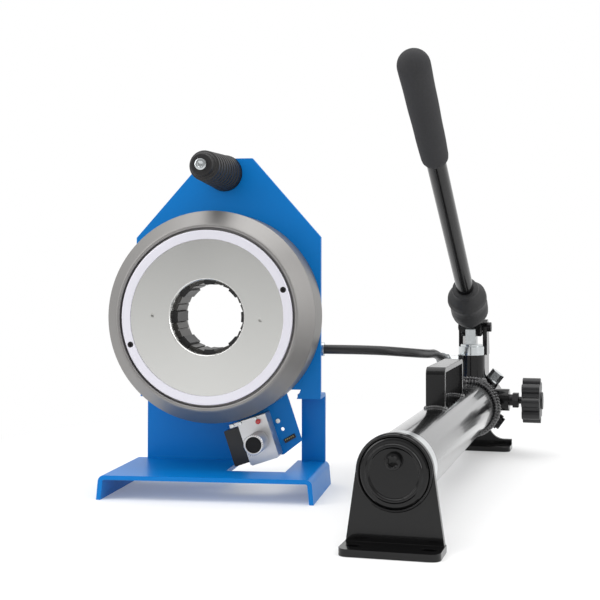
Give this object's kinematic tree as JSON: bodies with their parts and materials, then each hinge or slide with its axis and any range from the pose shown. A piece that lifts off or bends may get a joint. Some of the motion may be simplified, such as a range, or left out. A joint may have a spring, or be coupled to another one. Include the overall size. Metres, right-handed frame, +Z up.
{
  "type": "hose crimping machine",
  "caption": "Hose crimping machine: ring-piston head with wedge dies on a bent sheet stand, worked through a hose by a single-lever hydraulic hand pump.",
  "frame": {"origin": "on the floor, under the middle of the bounding box of the stand, head and pump without the hose and its ferrules", "axes": "+Z up, -Y the front that the crimping bore opens towards, +X to the operator's right where the pump lies; the pump's tank is turned 6.65 degrees from +Y towards +X"},
  "size_m": [0.5176, 0.6376, 0.4859],
  "materials": {
    "blue_paint": "gloss powder coat",
    "turned_steel": "satin turned",
    "ring_steel": "satin ground",
    "black_steel": "black oxide",
    "cover_steel": "radially brushed",
    "cage_steel": "blackened",
    "die_steel": "ground",
    "seal_rubber": "matt",
    "grip_rubber": "ribbed, satin",
    "zinc_steel": "bright zinc plate",
    "black_plastic": "satin",
    "milled_aluminium": "milled",
    "lamp_red": "gloss",
    "dial_black": "matt",
    "black_paint": "gloss enamel",
    "tank_steel": "dark polished",
    "foam": "soft matt foam",
    "boot_rubber": "satin",
    "hose_rubber": "satin"
  },
  "bodies": {
    "machine": {"base_frame": "blue_paint", "back_plate": "blue_paint", "control_bracket": "blue_paint", "head_housing": "turned_steel", "face_ring": "ring_steel", "ring_plugs": "black_steel", "front_cover": "cover_steel", "guide_cage": "cage_steel", "rear_cover": "turned_steel", "rear_cover_screws": "black_steel", "head_bolts": "black_steel", "carry_grip": "grip_rubber", "grip_bolt": "zinc_steel", "control_connector": "black_plastic", "control_block": "milled_aluminium", "switch_box": "black_plastic", "control_screws": "zinc_steel", "bracket_screws": "zinc_steel", "indicator_lamp": "lamp_red", "front_foot": "black_paint", "tank_end_cap": "black_paint", "filler_plug": "black_plastic", "tank_tube": "tank_steel", "tank_collar": "zinc_steel", "carry_handle": "black_paint", "pump_block": "black_paint", "cylinder_gland": "zinc_steel", "rear_foot": "black_paint", "rear_foot_bolts": "zinc_steel", "fulcrum_pin": "black_steel", "release_gland": "zinc_steel", "relief_plug": "zinc_steel", "drain_plug": "black_paint", "outlet_fitting": "zinc_steel", "port_fitting": "zinc_steel", "head_ferrule": "zinc_steel", "pump_ferrule": "zinc_steel", "hydraulic_hose": "hose_rubber"},
    "ring_piston": {"ring_piston": "turned_steel", "piston_seals": "seal_rubber"},
    "die_1": {"die_1": "die_steel"},
    "die_2": {"die_2": "die_steel"},
    "die_3": {"die_3": "die_steel"},
    "die_4": {"die_4": "die_steel"},
    "die_5": {"die_5": "die_steel"},
    "die_6": {"die_6": "die_steel"},
    "die_7": {"die_7": "die_steel"},
    "die_8": {"die_8": "die_steel"},
    "dial": {"dial_spindle": "zinc_steel", "dial_knob": "milled_aluminium", "dial_face": "dial_black"},
    "release_valve": {"release_stem": "zinc_steel", "release_knob": "black_plastic"},
    "lever": {"lever_yoke": "black_paint", "lever_tube": "black_paint", "foam_grip": "foam", "rubber_boot": "boot_rubber", "piston_pin": "black_steel"},
    "pump_piston": {"pump_piston": "zinc_steel"}
  },
  "joints": [
    {"name": "ring_piston_slide", "type": "slide", "parent": "machine", "child": "ring_piston", "axis": [0, -1, 0], "range_m": [0, 0.025]},
    {"name": "die_1_slide", "type": "slide", "parent": "machine", "child": "die_1", "axis": [-0.9239, 0, -0.3827], "range_m": [0, 0.01]},
    {"name": "die_2_slide", "type": "slide", "parent": "machine", "child": "die_2", "axis": [-0.3827, 0, -0.9239], "range_m": [0, 0.01]},
    {"name": "die_3_slide", "type": "slide", "parent": "machine", "child": "die_3", "axis": [0.3827, 0, -0.9239], "range_m": [0, 0.01]},
    {"name": "die_4_slide", "type": "slide", "parent": "machine", "child": "die_4", "axis": [0.9239, 0, -0.3827], "range_m": [0, 0.01]},
    {"name": "die_5_slide", "type": "slide", "parent": "machine", "child": "die_5", "axis": [0.9239, 0, 0.3827], "range_m": [0, 0.01]},
    {"name": "die_6_slide", "type": "slide", "parent": "machine", "child": "die_6", "axis": [0.3827, 0, 0.9239], "range_m": [0, 0.01]},
    {"name": "die_7_slide", "type": "slide", "parent": "machine", "child": "die_7", "axis": [-0.3827, 0, 0.9239], "range_m": [0, 0.01]},
    {"name": "die_8_slide", "type": "slide", "parent": "machine", "child": "die_8", "axis": [-0.9239, 0, 0.3827], "range_m": [0, 0.01]},
    {"name": "dial_turn", "type": "hinge", "parent": "machine", "child": "dial", "pos_m": [-0.08366, -0.06083, 0.06026], "axis": [0, -1, 0], "range_deg": [0, 720]},
    {"name": "release_valve_turn", "type": "hinge", "parent": "machine", "child": "release_valve", "pos_m": [0.24051, 0.24257, 0.078], "axis": [0.9933, -0.1158, 0], "range_deg": [0, 540]},
    {"name": "pump_lever", "type": "hinge", "parent": "machine", "child": "lever", "pos_m": [0.16068, 0.24867, 0.18105], "axis": [0.9933, -0.1158, 0], "range_deg": [-37, 23]},
    {"name": "pump_piston_slide", "type": "slide", "parent": "machine", "child": "pump_piston", "axis": [0, 0, 1], "range_m": [-0.0097, 0.0155]}
  ],
  "couplings": [
    {"joint": "die_1_slide", "follows": "ring_piston_slide", "ratio": 0.4},
    {"joint": "die_2_slide", "follows": "ring_piston_slide", "ratio": 0.4},
    {"joint": "die_3_slide", "follows": "ring_piston_slide", "ratio": 0.4},
    {"joint": "die_4_slide", "follows": "ring_piston_slide", "ratio": 0.4},
    {"joint": "die_5_slide", "follows": "ring_piston_slide", "ratio": 0.4},
    {"joint": "die_6_slide", "follows": "ring_piston_slide", "ratio": 0.4},
    {"joint": "die_7_slide", "follows": "ring_piston_slide", "ratio": 0.4},
    {"joint": "die_8_slide", "follows": "ring_piston_slide", "ratio": 0.4},
    {"joint": "pump_piston_slide", "follows": "pump_lever", "m_per_rad": -0.02387}
  ]
}
